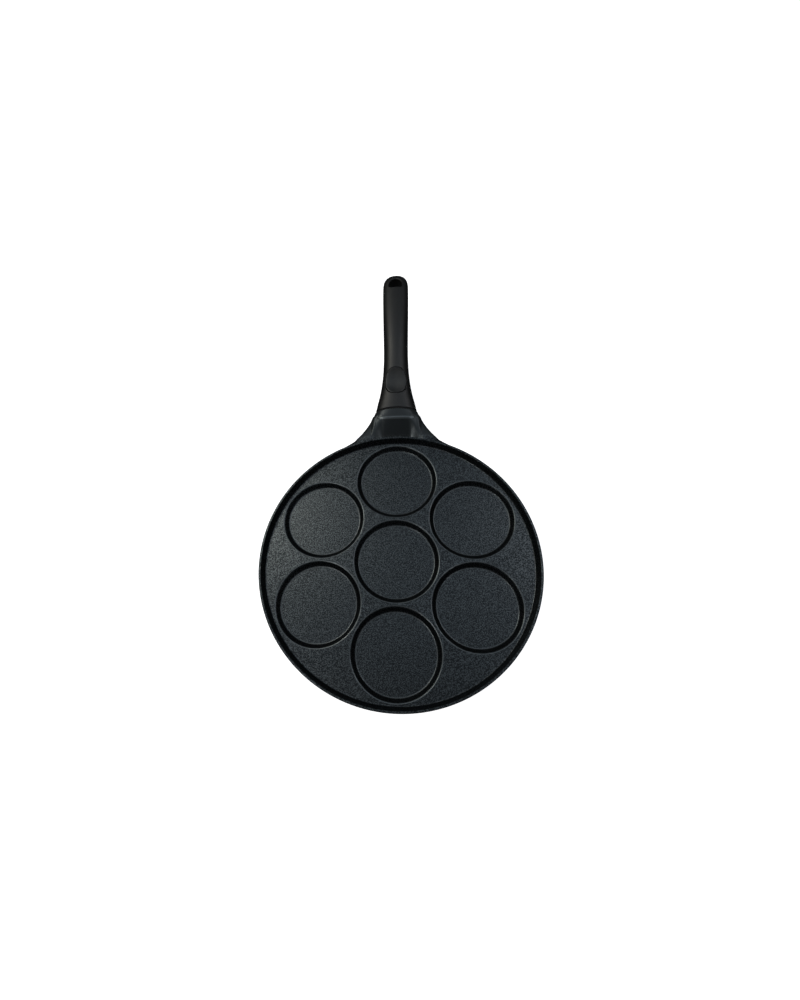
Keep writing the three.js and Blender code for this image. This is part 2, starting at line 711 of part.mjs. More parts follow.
// Pieces about the screw's axis
const fixing = new THREE.Group();
fixing.position.y = FIXING_SETBACK;
fixing.add(piece('handle_screw', handleScrew(), zincSteel));
fixing.add(piece('spring_washer', springWasher(), zincSteel));
fixing.add(piece('plain_washer', plainWasher(), zincSteel));
fixing.add(piece('threaded_insert', threadedInsert(), brass));
joint.add(fixing);

const pan = new THREE.Group();
pan.add(piece('pan_body', panBody(), coatedCasting));
pan.add(piece('handle', handle(), softTouch));
pan.add(joint);

export default pan;
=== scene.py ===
import math
import bmesh
import bpy
import numpy as np
from mathutils import Matrix, Vector


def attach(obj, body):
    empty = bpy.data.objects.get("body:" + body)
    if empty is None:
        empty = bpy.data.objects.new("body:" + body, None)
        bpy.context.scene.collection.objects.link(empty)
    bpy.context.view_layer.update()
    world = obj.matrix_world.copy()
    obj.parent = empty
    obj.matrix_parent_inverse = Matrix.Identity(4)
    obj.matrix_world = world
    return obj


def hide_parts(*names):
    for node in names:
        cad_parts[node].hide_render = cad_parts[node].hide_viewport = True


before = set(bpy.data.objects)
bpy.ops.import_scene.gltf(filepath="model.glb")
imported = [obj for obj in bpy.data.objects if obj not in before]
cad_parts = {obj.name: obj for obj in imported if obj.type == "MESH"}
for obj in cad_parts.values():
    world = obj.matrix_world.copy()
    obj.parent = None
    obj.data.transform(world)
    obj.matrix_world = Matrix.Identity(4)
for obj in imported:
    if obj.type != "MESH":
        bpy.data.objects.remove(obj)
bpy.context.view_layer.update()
print("frame loaded:", ", ".join(sorted(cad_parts)))

mm = 0.001  # all sizes below are millimetres, meshes are metres
mergeDistance = 1e-8  # metres
overcut = 5.0  # how far cuts run past a face
quarter = math.pi / 2
scene = bpy.context.scene


def lerp(a, b, share):
    return a + (b - a) * share


def clamp(value, low=0.0, high=1.0):
    return max(low, min(high, value))


def ease(value, low=0.0, high=1.0):
    share = clamp((value - low) / (high - low))
    return share * share * (3 - 2 * share)


def softMax(a, b, blend):  # larger of two heights, rounded where they meet
    near = np.maximum(blend - np.abs(a - b), 0) / blend
    return np.maximum(a, b) + near * near * blend / 4


def softMin(a, b, blend):
    return -softMax(-a, -b, blend)


def arcPoints(x, y, radius, start, end, steps):
    angles = [lerp(start, end, i / steps) for i in range(steps + 1)]
    return [(x + radius * math.cos(a), y + radius * math.sin(a)) for a in angles]


def roundedOutline(halfWidth, halfHeight, power, sides):  # between an ellipse and a rectangle
    points = []
    for i in range(sides):
        c, s = math.cos(2 * math.pi * i / sides), math.sin(2 * math.pi * i / sides)
        points.append((math.copysign(abs(c) ** (2 / power), c) * halfWidth,
                       math.copysign(abs(s) ** (2 / power), s) * halfHeight))
    return points


def pieceFrom(name, points, faces):
    mesh = bpy.data.meshes.new(name)
    mesh.from_pydata([Vector(p) * mm for p in points], [], faces)
    bm = bmesh.new()
    bm.from_mesh(mesh)
    bmesh.ops.remove_doubles(bm, verts=bm.verts, dist=mergeDistance)
    bmesh.ops.recalc_face_normals(bm, faces=bm.faces)
    bm.to_mesh(mesh)
    bm.free()
    piece = bpy.data.objects.new(name, mesh)
    scene.collection.objects.link(piece)
    return piece


def loftPiece(name, rings):  # skin over rings of points, flat at both ends
    sides = len(rings[0])
    faces = []
    for r in range(len(rings) - 1):
        for i in range(sides):
            j = (i + 1) % sides
            faces.append((r * sides + i, r * sides + j, (r + 1) * sides + j, (r + 1) * sides + i))
    last = (len(rings) - 1) * sides
    faces.append(tuple(range(sides))[::-1])
    faces.append(tuple(range(last, last + sides)))
    return pieceFrom(name, [p for ring in rings for p in ring], faces)


def spunPiece(name, profile, sides):  # profile of (radius, height) turned about Z; radius 0 is a pole
    points, rows, faces = [], [], []
    for radius, height in profile:
        if radius == 0:
            rows.append([len(points)])
            points.append((0, 0, height))
        else:
            rows.append(list(range(len(points), len(points) + sides)))
            turns = [2 * math.pi * i / sides for i in range(sides)]
            points += [(radius * math.cos(turn), radius * math.sin(turn), height) for turn in turns]
    for low, high in zip(rows, rows[1:]):
        for i in range(sides):
            j = (i + 1) % sides
            corners = (low[i % len(low)], low[j % len(low)], high[j % len(high)], high[i % len(high)])
            faces.append(tuple(dict.fromkeys(corners)))
    return pieceFrom(name, points, faces)


def settle(piece):  # live modifiers become plain mesh
    bpy.context.view_layer.update()
    graph = bpy.context.evaluated_depsgraph_get()
    made = bpy.data.meshes.new_from_object(piece.evaluated_get(graph))
    piece.modifiers.clear()
    piece.data = made
    return piece


def shape(piece, other, how):  # UNION or DIFFERENCE with another closed piece, which is used up
    step = piece.modifiers.new("shape", "BOOLEAN")
    step.object, step.operation, step.solver = other, how, "MANIFOLD"
    settle(piece)
    bpy.data.objects.remove(other)
    return piece


def placed(piece, matrix):  # moves the mesh by millimetres and leaves the object at the origin
    shift = matrix.copy()
    shift.translation = shift.translation * mm
    piece.data.transform(shift)
    return piece


def smoothed(piece, crease=32):  # smooth faces, sharp past the crease angle, flats kept flat
    mesh = piece.data
    bm = bmesh.new()
    bm.from_mesh(mesh)
    for face in bm.faces:
        face.smooth = True
    for edge in bm.edges:
        edge.smooth = len(edge.link_faces) == 2 and edge.calc_face_angle(0) < math.radians(crease)
    bm.to_mesh(mesh)
    bm.free()
    step = piece.modifiers.new("flats", "WEIGHTED_NORMAL")
    step.mode, step.weight, step.keep_sharp = "FACE_AREA", 50, True
    return settle(piece)


def dressed(piece, node, material):
    piece.data.materials.clear()
    piece.data.materials.append(material)
    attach(piece, "root")
    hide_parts(node)
    print(piece.name, "faces", len(piece.data.polygons))


# camera, from the photograph's own perspective
cameraSizes = {
    "place": (15.98, -128.604, 450.213),
    "right": (0.99202, 0.041687, -0.118989),
    "up": (0.01229, 0.907291, 0.420323),
    "back": (0.12548, -0.418431, 0.899539),
    "lens": 16.92,
    "sensor": 36.0,
    "shift": (0.0475, -0.0115),
    "clip": (0.01, 50.0),
}
cameraData = bpy.data.cameras.new("photoCamera")
cameraData.sensor_width = cameraSizes["sensor"]
cameraData.lens = cameraSizes["lens"]
cameraData.shift_x, cameraData.shift_y = cameraSizes["shift"]
cameraData.clip_start, cameraData.clip_end = cameraSizes["clip"]
photoCamera = bpy.data.objects.new("photoCamera", cameraData)
cameraTurn = Matrix((cameraSizes["right"], cameraSizes["up"], cameraSizes["back"])).transposed()
photoCamera.matrix_world = Matrix.Translation(Vector(cameraSizes["place"]) * mm) @ cameraTurn.to_4x4()
scene.collection.objects.link(photoCamera)
scene.camera = photoCamera
print("camera set")


# shader groups that several finishes share
def nodeTree(name, inputs, outputs):
    tree = bpy.data.node_groups.new(name, "ShaderNodeTree")
    for label, value in inputs:
        socket = tree.interface.new_socket(name=label, in_out="INPUT", socket_type="NodeSocketFloat")
        socket.default_value = value
    for label in outputs:
        tree.interface.new_socket(name=label, in_out="OUTPUT", socket_type="NodeSocketFloat")
    return tree, tree.nodes.new("NodeGroupInput"), tree.nodes.new("NodeGroupOutput")


def mathNode(tree, operation, *values):
    node = tree.nodes.new("ShaderNodeMath")
    node.operation = operation
    for socket, value in zip(node.inputs, values):
        if isinstance(value, (int, float)):
            socket.default_value = value
        else:
            tree.links.new(value, socket)
    return node.outputs[0]


def noiseNode(tree, vector, scale, detail, roughness):
    node = tree.nodes.new("ShaderNodeTexNoise")
    tree.links.new(vector, node.inputs["Vector"])
    tree.links.new(scale, node.inputs["Scale"])
    node.inputs["Detail"].default_value = detail
    node.inputs["Roughness"].default_value = roughness
    return node.outputs["Fac"]


def stretchNode(tree, value, low, high):  # low..high becomes 0..1
    node = tree.nodes.new("ShaderNodeMapRange")
    node.clamp = True
    tree.links.new(value, node.inputs["Value"])
    for label, bound in (("From Min", low), ("From Max", high)):
        if isinstance(bound, (int, float)):
            node.inputs[label].default_value = bound
        else:
            tree.links.new(bound, node.inputs[label])
    return node.outputs["Result"]


grainSizes = {  # detail and roughness of each noise, what is low and high in it, softness of a fleck's edge
    "grain": (3.0, 0.6), "fleck": (2.0, 0.6), "mottle": (2.0, 0.5), "contrast": (0.3, 0.7), "fleckEdge": 0.04,
}


def fleckGroup():  # fine grain, hard-edged flecks and a slow mottle, by size in millimetres
    tree, given, out = nodeTree("fleckGrain", [("Grain Size", 1.0), ("Fleck Size", 0.8), ("Fleck Level", 0.5),
                                               ("Mottle Size", 60.0)], ["Grain", "Fleck", "Mottle"])
    place = tree.nodes.new("ShaderNodeTexCoord").outputs["Object"]

    def noiseOf(name):
        size = given.outputs[name.title() + " Size"]
        return noiseNode(tree, place, mathNode(tree, "DIVIDE", 1 / mm, size), *grainSizes[name])

    level = given.outputs["Fleck Level"]
    full = mathNode(tree, "ADD", level, grainSizes["fleckEdge"])
    tree.links.new(stretchNode(tree, noiseOf("grain"), *grainSizes["contrast"]), out.inputs["Grain"])
    tree.links.new(stretchNode(tree, noiseOf("fleck"), level, full), out.inputs["Fleck"])
    tree.links.new(stretchNode(tree, noiseOf("mottle"), *grainSizes["contrast"]), out.inputs["Mottle"])
    return tree


def turnedGroup():  # fine concentric tool lines about the pan's axis, low down only
    tree, given, out = nodeTree("turnedLines", [("Line Pitch", 1.2), ("Top", 0.8)], ["Lines"])
    place = tree.nodes.new("ShaderNodeSeparateXYZ")
    tree.links.new(tree.nodes.new("ShaderNodeTexCoord").outputs["Object"], place.inputs[0])
    x, y, z = place.outputs
    squares = mathNode(tree, "ADD", mathNode(tree, "MULTIPLY", x, x), mathNode(tree, "MULTIPLY", y, y))
    radius = mathNode(tree, "MULTIPLY", mathNode(tree, "SQRT", squares), 1 / mm)
    turns = mathNode(tree, "DIVIDE", radius, given.outputs["Line Pitch"])
    wave = mathNode(tree, "SINE", mathNode(tree, "MULTIPLY", turns, 2 * math.pi))
    low = stretchNode(tree, mathNode(tree, "MULTIPLY", z, 1 / mm), given.outputs["Top"], 0.0)
    tree.links.new(mathNode(tree, "MULTIPLY", wave, low), out.inputs["Lines"])
    return tree


fleckGrain = fleckGroup()
turnedLines = turnedGroup()


def useGroup(tree, group, values):
    node = tree.nodes.new("ShaderNodeGroup")
    node.node_tree = group
    for label, value in values.items():
        node.inputs[label].default_value = value
    return node


def colourMix(tree, share, a, b):
    node = tree.nodes.new("ShaderNodeMix")
    node.data_type = "RGBA"
    tree.links.new(share, node.inputs[0])
    for socket, value in ((node.inputs[6], a), (node.inputs[7], b)):
        if isinstance(value, tuple):
            socket.default_value = value + (1.0,)
        else:
            tree.links.new(value, socket)
    return node.outputs[2]


def toneNode(tree, grain, grainShare):  # grain and mottle in one value
    return mathNode(tree, "ADD", mathNode(tree, "MULTIPLY", grain.outputs["Grain"], grainShare),
                    mathNode(tree, "MULTIPLY", grain.outputs["Mottle"], 1 - grainShare))


def roughen(tree, shader, value, look):
    node = tree.nodes.new("ShaderNodeMapRange")
    node.inputs["To Min"].default_value, node.inputs["To Max"].default_value = look["rough"]
    tree.links.new(value, node.inputs["Value"])
    tree.links.new(node.outputs["Result"], shader.inputs["Roughness"])


def emboss(tree, shader, height, look):
    node = tree.nodes.new("ShaderNodeBump")
    node.inputs["Strength"].default_value = look["bump"]
    node.inputs["Distance"].default_value = look["bumpDepth"] * mm
    tree.links.new(height, node.inputs["Height"])
    tree.links.new(node.outputs[0], shader.inputs["Normal"])


def newFinish(name, settings):
    material = bpy.data.materials.new(name)
    material.use_nodes = True
    tree = material.node_tree
    shader = tree.nodes["Principled BSDF"]
    for label, value in settings.items():
        shader.inputs[label].default_value = value
    return material, tree, shader


# finishes
coatLook = {
    "dark": (0.0007, 0.0009, 0.0011), "light": (0.0016, 0.0019, 0.0022), "fleck": (0.092, 0.102, 0.106),
    "grainSize": 1.1, "grainShare": 0.6, "mottleSize": 70.0, "fleckSize": 0.86, "fleckLevel": 0.5,
    "fleckShare": 0.73, "neckShare": 0.12, "neckStart": 134.5, "neckSmooth": 138.0,
    "linePitch": 1.1, "lineTop": 0.8, "lineShare": 0.6,
    "rough": (0.285, 0.31), "specular": 0.22, "tint": (0.84, 0.94, 1.0, 1.0), "bump": 0.6, "bumpDepth": 0.06,
}


def coatFinish():  # charcoal non-stick with fine metal flecks, and painted highlight drawn as exposed metal along edges and the neck
    look = coatLook
    material, tree, shader = newFinish("coatedCasting", {"Specular IOR Level": look["specular"],
                                                         "Specular Tint": look["tint"]})
    grain = useGroup(tree, fleckGrain, {"Grain Size": look["grainSize"], "Fleck Size": look["fleckSize"],
                                        "Fleck Level": look["fleckLevel"], "Mottle Size": look["mottleSize"]})
    lines = useGroup(tree, turnedLines, {"Line Pitch": look["linePitch"], "Top": look["lineTop"]})
    tone = toneNode(tree, grain, look["grainShare"])
    # painted highlight: the attribute read here turns the coat to bright exposed metal along cup edges and
    # feet, the neck and its ridge
    paintedSheen = tree.nodes.new("ShaderNodeAttribute")
    paintedSheen.attribute_name = "paintedSheen"
    place = tree.nodes.new("ShaderNodeSeparateXYZ")
    tree.links.new(tree.nodes.new("ShaderNodeTexCoord").outputs["Object"], place.inputs[0])
    neckward = stretchNode(tree, place.outputs["Y"], look["neckStart"] * mm, look["neckSmooth"] * mm)
    flecks = tree.nodes.new("ShaderNodeMix")  # the coat lies smoother on the neck
    flecks.inputs["B"].default_value = look["neckShare"]
    tree.links.new(neckward, flecks.inputs["Factor"])
    tree.links.new(grain.outputs["Fleck"], flecks.inputs["A"])
    dimmed = mathNode(tree, "MULTIPLY", flecks.outputs["Result"], look["fleckShare"])
    # colour moves towards the fleck colour where flecks are and where the painted highlight lies
    fleckAndSheenShare = mathNode(tree, "MAXIMUM", dimmed, paintedSheen.outputs["Fac"])
    body = colourMix(tree, tone, look["dark"], look["light"])
    tree.links.new(colourMix(tree, fleckAndSheenShare, body, look["fleck"]), shader.inputs["Base Color"])
    # metallic where flecks are and where the painted highlight lies
    fleckAndSheenMetal = mathNode(tree, "MAXIMUM", flecks.outputs["Result"], paintedSheen.outputs["Fac"])
    tree.links.new(fleckAndSheenMetal, shader.inputs["Metallic"])
    roughen(tree, shader, tone, look)
    ridges = mathNode(tree, "MULTIPLY", lines.outputs["Lines"], look["lineShare"])
    emboss(tree, shader, mathNode(tree, "ADD", grain.outputs["Grain"], ridges), look)
    return material


softLook = {
    "dark": (0.0016, 0.0016, 0.0016), "light": (0.0068, 0.0068, 0.0066), "grainSize": 0.8, "mottleSize": 45.0,
    "grainShare": 0.5, "rough": (0.42, 0.48), "specular": 0.39, "bump": 0.5, "bumpDepth": 0.05,
}
padLook = {
    "dark": (0.002, 0.0021, 0.002), "light": (0.0088, 0.009, 0.0086), "grainSize": 0.7, "mottleSize": 20.0,
    "grainShare": 0.5, "rough": (0.38, 0.44), "specular": 0.43, "bump": 0.6, "bumpDepth": 0.06,
}
gasketLook = {
    "dark": (0.006, 0.006, 0.006), "light": (0.012, 0.012, 0.012), "grainSize": 0.6, "mottleSize": 12.0,
    "grainShare": 0.5, "rough": (0.65, 0.8), "specular": 0.3, "bump": 0.4, "bumpDepth": 0.02,
}


def mouldedFinish(name, look):  # moulded plastic or rubber with a fine even grain
    material, tree, shader = newFinish(name, {"Specular IOR Level": look["specular"]})
    grain = useGroup(tree, fleckGrain, {"Grain Size": look["grainSize"], "Mottle Size": look["mottleSize"]})
    tone = toneNode(tree, grain, look["grainShare"])
    tree.links.new(colourMix(tree, tone, look["dark"], look["light"]), shader.inputs["Base Color"])
    roughen(tree, shader, tone, look)
    emboss(tree, shader, grain.outputs["Grain"], look)
    return material


zincLook = {
    "dark": (0.42, 0.43, 0.44), "light": (0.62, 0.63, 0.64), "grainSize": 0.35, "mottleSize": 4.0,
    "rough": (0.25, 0.42), "bump": 0.2, "bumpDepth": 0.01,
}
brassLook = {
    "dark": (0.42, 0.29, 0.1), "light": (0.62, 0.46, 0.2), "grainSize": 0.35, "mottleSize": 4.0,
    "rough": (0.25, 0.45), "bump": 0.2, "bumpDepth": 0.01,
}


def metalFinish(name, look):  # plated or turned metal, faintly mottled
    material, tree, shader = newFinish(name, {"Metallic": 1.0})
    grain = useGroup(tree, fleckGrain, {"Grain Size": look["grainSize"], "Mottle Size": look["mottleSize"]})
    colour = colourMix(tree, grain.outputs["Mottle"], look["dark"], look["light"])
    tree.links.new(colour, shader.inputs["Base Color"])
    roughen(tree, shader, grain.outputs["Grain"], look)
    emboss(tree, shader, grain.outputs["Grain"], look)
    return material


coatedCasting = coatFinish()
softTouch = mouldedFinish("softTouch", softLook)
padRubber = mouldedFinish("padRubber", padLook)
gasketRubber = mouldedFinish("gasketRubber", gasketLook)
zincSteel = metalFinish("zincSteel", zincLook)
brass = metalFinish("brass", brassLook)
print("finishes made")


# pan, a turned blank with a cast neck and cups sunk into it
panSizes = {
    "ringCups": 6, "cupFloorRadius": 35.9, "cupDepth": 5.0, "cupDraft": math.radians(35), "cupFoot": 2.2,
    "cupEdge": 1.2, "edgeRound": 2.2, "cupWeb": 2.6, "floorThickness": 5.0, "rimMargin": 0.3,
    "rimHeight": 6.8, "rimDraft": math.radians(33), "lipWidth": 2.2, "lipCorner": 0.35, "rimFoot": 1.6,
    "footShift": 1.0, "baseFillet": 6.0, "grooves": 3, "grooveInset": 14.0, "groovePitch": 26.0,
    "grooveWidth": 2.4, "grooveDepth": 0.6, "grooveSteps": 6, "sides": 288, "cupSides": 144, "filletSteps": 8,
    "lipSteps": 12, "draftPasses": 20,
}
pan = panSizes


def mouthRadius(edge):  # where the plate begins around a cup, by the rounding of its edge
    rounds, draft = pan["cupFoot"] + edge, pan["cupDraft"]
    return (pan["cupFloorRadius"] + rounds * math.cos(draft)
            + (pan["cupDepth"] - rounds * (1 - math.sin(draft))) * math.tan(draft))


cupMouth = mouthRadius(pan["cupEdge"])
cupPitch = 2 * cupMouth + pan["cupWeb"]
plateTop = pan["floorThickness"] + pan["cupDepth"]
rimTop = plateTop + pan["rimHeight"]
rimSlope = math.tan(pan["rimDraft"])
rimFootRadius = cupPitch + cupMouth + pan["rimMargin"]
wallFootRadius = rimFootRadius + pan["rimFoot"] * math.cos(pan["rimDraft"])
wallFootHeight = plateTop + pan["rimFoot"] * (1 - math.sin(pan["rimDraft"]))
cornerHeight = rimTop - pan["lipCorner"]
cornerRise = pan["lipCorner"] * math.sin(pan["rimDraft"])
cornerRun = pan["lipCorner"] * (1 - math.cos(pan["rimDraft"]))


def innerWall(height):
    return wallFootRadius + (height - wallFootHeight) * rimSlope


lipInnerRadius = innerWall(cornerHeight + cornerRise) - cornerRun
rimOuterRadius = lipInnerRadius + pan["lipWidth"]


def outerWall(height):
    return rimOuterRadius - cornerRun + (height - cornerHeight + cornerRise) * rimSlope


def wallMiddle(height):
    return (innerWall(height) + outerWall(height)) / 2


baseTop = pan["baseFillet"] * (1 - math.sin(pan["rimDraft"]))
baseFlatRadius = outerWall(baseTop) - pan["baseFillet"] * math.cos(pan["rimDraft"])


def innerDraft(footRadius):  # slope of the rim's inner face, from its foot to the lip
    corner, foot, draft = pan["lipCorner"], pan["rimFoot"], pan["rimDraft"]
    for _ in range(pan["draftPasses"]):
        run = lipInnerRadius + corner * (1 - math.cos(draft)) - footRadius - foot * math.cos(draft)
        rise = cornerHeight + corner * math.sin(draft) - plateTop - foot * (1 - math.sin(draft))
        draft = math.atan(run / rise)
    return draft


def panBlank():
    profile = [(0, 0)]
    steps = pan["grooveSteps"]
    for i in reversed(range(pan["grooves"])):
        middle = baseFlatRadius - pan["grooveInset"] - i * pan["groovePitch"]
        for step in range(-steps, steps + 1):
            rise = pan["grooveDepth"] * (1 + math.cos(math.pi * step / steps)) / 2
            profile.append((middle + pan["grooveWidth"] / 2 * step / steps, rise))
    profile += arcPoints(baseFlatRadius, pan["baseFillet"], pan["baseFillet"], -quarter, -pan["rimDraft"],
                         pan["filletSteps"])
    corner, foot = pan["lipCorner"], pan["rimFoot"]
    footRadius = rimFootRadius + pan["footShift"]
    draft = innerDraft(footRadius)
    for radius, start, end in ((rimOuterRadius - corner, -pan["rimDraft"], quarter),
                               (lipInnerRadius + corner, quarter, math.pi - draft)):
        profile += arcPoints(radius, cornerHeight, corner, start, end, pan["lipSteps"])
    profile += arcPoints(footRadius, plateTop + foot, foot, -draft, -quarter, pan["filletSteps"])
    profile.append((0, plateTop))
    return spunPiece("panBody", profile, pan["sides"])


def cupSpace():  # the room one cup takes, measured from the plate's top
    profile = [(0, -pan["cupDepth"])]
    profile += arcPoints(pan["cupFloorRadius"], pan["cupFoot"] - pan["cupDepth"], pan["cupFoot"], -quarter,
                         -pan["cupDraft"], pan["filletSteps"])
    edge = pan["edgeRound"]
    mouth = mouthRadius(edge)
    profile += arcPoints(mouth, -edge, edge, math.pi - pan["cupDraft"], quarter, pan["filletSteps"])
    profile += [(mouth, overcut), (0, overcut)]
    return spunPiece("cupSpace", profile, pan["cupSides"])


# mid-line from the rim through the handle
spineSizes = {
    "neckReach": 32.9, "jointCrown": 9.2, "shankAngle": math.radians(16.5), "shankLength": 53.7,
    "tipAngle": math.radians(5), "gripLength": 111.4, "gripWidth": 26.6, "thickness": 20.4,
    "flare": 28.4, "flareReach": 108.0, "flarePower": 3.0, "sectionPower": 2.15, "collarLength": 10.7,
}
spine = spineSizes
crown = spine["thickness"] / 2
jointY = rimOuterRadius + spine["neckReach"]
jointZ = rimTop + spine["jointCrown"] - crown * math.cos(spine["shankAngle"])
handleEnd = spine["shankLength"] + spine["gripLength"]


def frameOf(y, z, angle):
    return Matrix.Translation((0, y, z)) @ Matrix.Rotation(angle, 4, "X")


def frameAt(distance):  # straight from the joint, then bending level
    angle = spine["shankAngle"]
    straight = min(distance, spine["shankLength"])
    bent = max(distance - spine["shankLength"], 0)
    turn = (angle - spine["tipAngle"]) * bent / spine["gripLength"]
    chord = bent if turn == 0 else bent * math.sin(turn / 2) / (turn / 2)
    y = jointY + straight * math.cos(angle) + chord * math.cos(angle - turn / 2)
    z = jointZ + straight * math.sin(angle) + chord * math.sin(angle - turn / 2)
    return frameOf(y, z, angle - turn)


def flaredHalfWidth(reach):
    flare = max(1 - reach / spine["flareReach"], 0) ** spine["flarePower"]
    return spine["gripWidth"] / 2 + spine["flare"] * flare


def reachOf(place):
    return place.translation.y - rimOuterRadius


jointFrame = frameAt(0)
bowSizes = {"depth": 1.7, "halfWidth": 20.0, "most": 1.2, "under": 1.0, "flat": 2.5, "fade": 9.0}


def bowed(piece):  # the joint between casting and handle curves back at its sides
    bow, back = bowSizes, jointFrame.inverted()
    for vertex in piece.data.vertices:
        p = back @ (vertex.co / mm)
        share = 1 - ease(abs(p.y), bow["flat"], bow["fade"])
        if share > 0 and p.z > -crown - bow["under"]:
            p.y -= bow["depth"] * min((p.x / bow["halfWidth"]) ** 2, bow["most"]) * share
            vertex.co = (jointFrame @ p) * mm
    return piece


neckSizes = {
    "flangeThickness": 12.0, "flangePower": 7.0, "shoulder": 0.55, "blend": 26.0, "bury": 16.0,
    "lipStep": 1.2, "bossPower": 5.0, "bossDrop": 4.0, "collarPower": 3.0, "scoopAngle": math.radians(29),
    "scoopRidge": 41.0, "scoopMouth": 50.0, "scoopFlat": 0.72, "mouthFlat": 0.58, "scoopCurve": 1.5,
    "crestRound": 2.6, "ridgeRound": 0.12, "footLeast": 0.02, "footRound": 2.0, "footSpread": 3.0,
    "endRound": 0.6, "endSteps": 5, "beadHeight": 0.28, "beadWidth": 0.9, "beadShift": 0.5,
    "beadEnd": 1.25, "beadFade": 0.4, "slopeStep": 0.1,
    "coreWall": 8.0, "coreRoof": 4.5, "coreStart": 2.3, "coreEnd": 1.7, "coreRound": 2.5,
    "coreRings": 40, "coreRoundRings": 6, "coreSides": 96,
}
neckStations = {  # start, end and count of each stretch, closer together where the form turns
    "across": (0, 0.3, 16), "cheeks": (0.3, 0.962, 94), "edgeAngles": (18, 15, 12, 9, 6, 3, 0),
    "root": ((0, 0.45, 24), (0.45, 0.88, 44), (0.88, 0.96, 16), (0.96, 1, 16)),
    "collar": (0, 3, 20), "collarRest": 9,
}
neck = neckSizes
collarPoint = frameAt(-spine["collarLength"]).translation
flangeTop = rimTop - neck["lipStep"]
flangeHeight = flangeTop - neck["flangeThickness"] / 2
shoulderRadius = outerWall(flangeHeight + neck["shoulder"] * neck["flangeThickness"] / 2)
rootStart = wallMiddle(0) - neck["bury"]
rootBend = (collarPoint.z - flangeHeight) / math.tan(spine["shankAngle"])
rootCorners = [(rootStart, flangeHeight), (collarPoint.y - rootBend, flangeHeight),
               (collarPoint.y, collarPoint.z)]
collarReach = collarPoint.y - rimOuterRadius
ridgeY = collarPoint.y - crown * math.sin(spine["shankAngle"])


def crownLine(y):
    return jointZ + (y - jointY) * math.tan(spine["shankAngle"]) + crown / math.cos(spine["shankAngle"])


ridgeHeight = crownLine(ridgeY)


def rootPlace(share):
    (y0, z0), (y1, z1), (y2, z2) = rootCorners
    rest = 1 - share
    y = rest * rest * y0 + 2 * rest * share * y1 + share * share * y2
    z = rest * rest * z0 + 2 * rest * share * z1 + share * share * z2
    slope = (rest * (z1 - z0) + share * (z2 - z1)) / (rest * (y1 - y0) + share * (y2 - y1))
    return y, z, math.atan(slope)


def scoopFloor(y):  # straight down from the ridge towards the rim
    return ridgeHeight - (ridgeY - y) * math.tan(neck["scoopAngle"])


def flangeHalfWidth(reach):
    flare = flaredHalfWidth(reach)
    chord = math.sqrt(max(shoulderRadius ** 2 - (rimOuterRadius + reach) ** 2, 0))
    near = max(1 - abs(flare - chord) / neck["blend"], 0)
    grown = ease(rimOuterRadius + reach, rootStart, wallMiddle(0))
    return max(flare, chord) + neck["blend"] / 4 * grown * near ** 2


def swell(share, power):  # height of a rounded section at a share of its half width
    return np.maximum(1 - np.minimum(np.abs(share), 1) ** power, 0) ** (1 / power)


def neckShares():  # stations across half the section, close where the cheeks and the edge are
    edge = np.cos(np.radians(neckStations["edgeAngles"])) ** (2 / neck["flangePower"])
    across, cheeks = np.linspace(*neckStations["across"], False), np.linspace(*neckStations["cheeks"])
    return np.concatenate([across, cheeks, edge])


def neckTop(x, flange, foot, place, angle, bossWidth, power, inset):  # cast surface over the mid-line
    upper = (crownLine(place.translation.y) - place.translation.z) * math.cos(angle)
    y = place.translation.y - upper * math.sin(angle)
    past = -(x - bossWidth) * neck["bossDrop"]
    boss = np.where(x < bossWidth, (upper - inset) * swell(x / bossWidth, power), past)
    bead = neck["beadHeight"] * math.exp(-((y - ridgeY - neck["beadShift"]) / neck["beadWidth"]) ** 2)
    along = (y - rimOuterRadius) / (ridgeY - rimOuterRadius)
    crest = lerp(neck["scoopMouth"], neck["scoopRidge"], along) / 2
    depth = (crownLine(y) - scoopFloor(y)) * math.cos(angle)
    out = x / crest
    flat = lerp(neck["mouthFlat"], neck["scoopFlat"], clamp(along))
    rise = np.maximum(out - flat, 0) / (1 - flat)
    sunk = depth * (1 - rise ** neck["scoopCurve"]) if depth > 0 else depth
    scoop = upper * swell(np.minimum(out, 1) * crest / bossWidth, power) - sunk
    blend = lerp(neck["ridgeRound"], neck["crestRound"], np.minimum(rise, 1))
    bead = bead * np.clip((neck["beadEnd"] - out) / neck["beadFade"], 0, 1)
    return softMin(softMax(flange, boss, foot), scoop, blend) + bead


